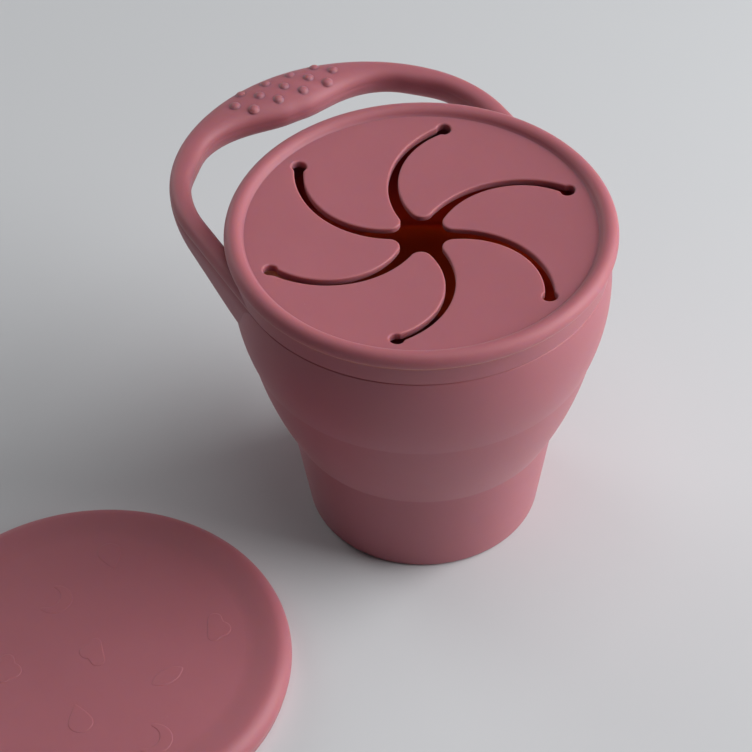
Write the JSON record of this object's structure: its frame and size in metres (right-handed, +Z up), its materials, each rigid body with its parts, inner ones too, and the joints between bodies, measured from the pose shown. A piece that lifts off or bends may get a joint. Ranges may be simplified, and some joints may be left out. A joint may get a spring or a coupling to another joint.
{
  "type": "toddler snack container",
  "caption": "Collapsible silicone snack pot with a strap handle, a lid of spiral flaps that a small hand reaches through, and a loose travel cover.",
  "frame": {"origin": "centre of the pot's flat underside, on the floor", "axes": "+Z up along the pot's axis, +Y towards the handle's grip, +X to the right seen from the bare front"},
  "size_m": [0.209, 0.147, 0.095],
  "materials": {
    "pot": "matt dusty-rose silicone",
    "handle": "matt dusty-rose silicone",
    "lid": "matt dusty-rose silicone",
    "flaps": "matt dusty-rose silicone",
    "cover": "matt dusty-rose silicone"
  },
  "bodies": {
    "base": {"base_cup": "pot", "fold_wall": "pot"},
    "upper": {"upper_wall": "pot", "carry_handle": "handle"},
    "lid": {"lid_ring": "lid"},
    "flap_1": {"flap_1": "flaps"},
    "flap_2": {"flap_2": "flaps"},
    "flap_3": {"flap_3": "flaps"},
    "flap_4": {"flap_4": "flaps"},
    "flap_5": {"flap_5": "flaps"},
    "flap_6": {"flap_6": "flaps"},
    "cover": {"travel_cover": "cover"}
  },
  "joints": [
    {"name": "collapse", "type": "slide", "parent": "base", "child": "upper", "axis": [0, 0, 1], "range_m": [-0.0556, 0], "deforming": ["fold_wall"]},
    {"name": "lid_lift", "type": "slide", "parent": "upper", "child": "lid", "axis": [0, 0, 1], "range_m": [0, 0.06]},
    {"name": "flap_1_bend", "type": "hinge", "parent": "lid", "child": "flap_1", "pos_m": [0.03262, 0.01265, 0.09195], "axis": [0.3616, -0.9323, 0], "range_deg": [-20, 50], "stiffness_Nm_per_rad": 0.02},
    {"name": "flap_2_bend", "type": "hinge", "parent": "lid", "child": "flap_2", "pos_m": [0.00535, 0.03458, 0.09195], "axis": [0.9882, -0.153, 0], "range_deg": [-20, 50], "stiffness_Nm_per_rad": 0.02},
    {"name": "flap_3_bend", "type": "hinge", "parent": "lid", "child": "flap_3", "pos_m": [-0.02727, 0.02192, 0.09195], "axis": [0.6266, 0.7793, 0], "range_deg": [-20, 50], "stiffness_Nm_per_rad": 0.02},
    {"name": "flap_4_bend", "type": "hinge", "parent": "lid", "child": "flap_4", "pos_m": [-0.03262, -0.01265, 0.09195], "axis": [-0.3616, 0.9323, 0], "range_deg": [-20, 50], "stiffness_Nm_per_rad": 0.02},
    {"name": "flap_5_bend", "type": "hinge", "parent": "lid", "child": "flap_5", "pos_m": [-0.00535, -0.03458, 0.09195], "axis": [-0.9882, 0.153, 0], "range_deg": [-20, 50], "stiffness_Nm_per_rad": 0.02},
    {"name": "flap_6_bend", "type": "hinge", "parent": "lid", "child": "flap_6", "pos_m": [0.02727, -0.02192, 0.09195], "axis": [-0.6266, -0.7793, 0], "range_deg": [-20, 50], "stiffness_Nm_per_rad": 0.02},
    {"name": "cover_lift", "type": "slide", "parent": "base", "child": "cover", "axis": [0, 0, 1], "range_m": [0, 0.06]}
  ]
}
